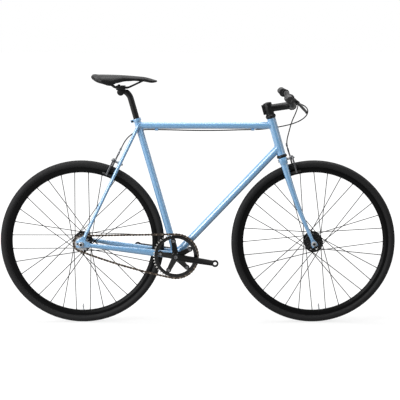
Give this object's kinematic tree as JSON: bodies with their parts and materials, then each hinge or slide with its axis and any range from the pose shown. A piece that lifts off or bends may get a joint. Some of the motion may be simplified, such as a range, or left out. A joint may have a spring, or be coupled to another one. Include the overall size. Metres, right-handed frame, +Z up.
{
  "type": "fixed gear bicycle",
  "caption": "Fixed gear bicycle with a steel diamond frame, riser bar, rim brakes and single chain drive; cranks without pedals.",
  "frame": {"origin": "on the ground, midway between the axles, in the middle plane", "axes": "+X forwards, +Y to the rider's left, +Z up"},
  "size_m": [1.6509, 0.5826, 1.0376],
  "materials": {
    "frame_paint": "gloss",
    "black_alloy": "satin black",
    "black_steel": "black oxide",
    "silver_alloy": "polished",
    "bright_steel": "zinc plated",
    "chain_steel": "oiled bronze",
    "tyre_rubber": "matt",
    "grip_rubber": "matt",
    "saddle_cover": "satin",
    "housing_plastic": "satin"
  },
  "bodies": {
    "frame": {"head_tube": "frame_paint", "top_tube": "frame_paint", "down_tube": "frame_paint", "seat_tube": "frame_paint", "bottom_bracket_shell": "frame_paint", "chainstays": "frame_paint", "seatstays": "frame_paint", "rear_dropouts": "frame_paint", "stay_bridges": "frame_paint", "seat_collar": "frame_paint", "headset_cups": "black_alloy", "cable_guides": "frame_paint", "bottom_bracket_cups": "black_steel", "chain_inner_links": "chain_steel", "chain_outer_links": "chain_steel", "rear_axle": "bright_steel", "rear_axle_nuts": "bright_steel", "rear_brake_housing": "housing_plastic", "rear_brake_bolt": "bright_steel"},
    "steering": {"fork_crown": "frame_paint", "fork_blades": "frame_paint", "headset_covers": "black_alloy", "stem": "black_alloy", "stem_face_plate": "black_alloy", "stem_bolts": "black_steel", "stem_top_cap": "black_alloy", "handlebar": "black_alloy", "grips": "grip_rubber", "lever_brackets": "black_alloy", "front_brake_housing": "housing_plastic", "rear_housing_lever_end": "housing_plastic", "front_axle": "bright_steel", "front_axle_nuts": "bright_steel", "front_brake_bolt": "bright_steel"},
    "front_wheel": {"front_tyre": "tyre_rubber", "front_rim": "black_alloy", "front_spokes": "black_steel", "front_hub": "black_alloy"},
    "rear_wheel": {"rear_tyre": "tyre_rubber", "rear_rim": "black_alloy", "rear_spokes": "black_steel", "rear_hub": "black_alloy", "rear_cog": "bright_steel", "cog_lockring": "black_steel"},
    "crankset": {"crank_spindle": "bright_steel", "right_crank": "black_alloy", "left_crank": "black_alloy", "chainring": "black_alloy", "chainring_bolts": "black_steel", "crank_bolts": "black_steel"},
    "seat": {"seatpost": "black_alloy", "saddle_clamp": "black_alloy", "saddle": "saddle_cover", "saddle_rails": "black_steel"},
    "left_brake_lever": {"left_lever": "black_alloy"},
    "right_brake_lever": {"right_lever": "black_alloy"},
    "front_left_arm": {"front_brake_left_arm": "silver_alloy"},
    "front_right_arm": {"front_brake_right_arm": "silver_alloy"},
    "rear_left_arm": {"rear_brake_left_arm": "silver_alloy"},
    "rear_right_arm": {"rear_brake_right_arm": "silver_alloy"}
  },
  "joints": [
    {"name": "steering_turn", "type": "hinge", "parent": "frame", "child": "steering", "pos_m": [0.34681, 0, 0.70991], "axis": [-0.2756, 0, 0.9613], "range_deg": [-70, 70], "deforming": ["rear_housing_lever_end"]},
    {"name": "front_wheel_spin", "type": "hinge", "parent": "steering", "child": "front_wheel", "pos_m": [0.4825, 0, 0.343], "axis": [0, 1, 0], "continuous": true},
    {"name": "rear_wheel_spin", "type": "hinge", "parent": "frame", "child": "rear_wheel", "pos_m": [-0.4825, 0, 0.343], "axis": [0, 1, 0], "continuous": true, "deforming": ["chain_inner_links", "chain_outer_links"]},
    {"name": "crank_spin", "type": "hinge", "parent": "frame", "child": "crankset", "pos_m": [-0.09105, 0, 0.289], "axis": [0, 1, 0], "continuous": true},
    {"name": "seatpost_slide", "type": "slide", "parent": "frame", "child": "seat", "axis": [-0.2723, 0, 0.9622], "range_m": [-0.06, 0.04]},
    {"name": "left_lever_pull", "type": "hinge", "parent": "steering", "child": "left_brake_lever", "pos_m": [0.39951, 0.15392, 0.93571], "axis": [0.5579, 0.0681, 0.8271], "range_deg": [0, 25], "stiffness_Nm_per_rad": 0.6},
    {"name": "right_lever_pull", "type": "hinge", "parent": "steering", "child": "right_brake_lever", "pos_m": [0.39951, -0.15392, 0.93571], "axis": [-0.5579, 0.0681, -0.8271], "range_deg": [0, 25], "stiffness_Nm_per_rad": 0.6},
    {"name": "front_left_pad_close", "type": "hinge", "parent": "steering", "child": "front_left_arm", "pos_m": [0.35345, 0, 0.68675], "axis": [-0.9613, 0, -0.2756], "range_deg": [0, 1.6]},
    {"name": "front_right_pad_close", "type": "hinge", "parent": "steering", "child": "front_right_arm", "pos_m": [0.35345, 0, 0.68675], "axis": [0.9613, 0, 0.2756], "range_deg": [0, 1.6]},
    {"name": "rear_left_pad_close", "type": "hinge", "parent": "frame", "child": "rear_left_arm", "pos_m": [-0.32191, 0, 0.67189], "axis": [-0.8986, 0, 0.4388], "range_deg": [0, 1.6]},
    {"name": "rear_right_pad_close", "type": "hinge", "parent": "frame", "child": "rear_right_arm", "pos_m": [-0.32191, 0, 0.67189], "axis": [0.8986, 0, -0.4388], "range_deg": [0, 1.6]}
  ],
  "couplings": [
    {"joint": "crank_spin", "follows": "rear_wheel_spin", "ratio": 0.34783},
    {"joint": "front_left_pad_close", "follows": "left_lever_pull", "ratio": 0.064},
    {"joint": "front_right_pad_close", "follows": "left_lever_pull", "ratio": 0.064},
    {"joint": "rear_left_pad_close", "follows": "right_lever_pull", "ratio": 0.064},
    {"joint": "rear_right_pad_close", "follows": "right_lever_pull", "ratio": 0.064}
  ]
}
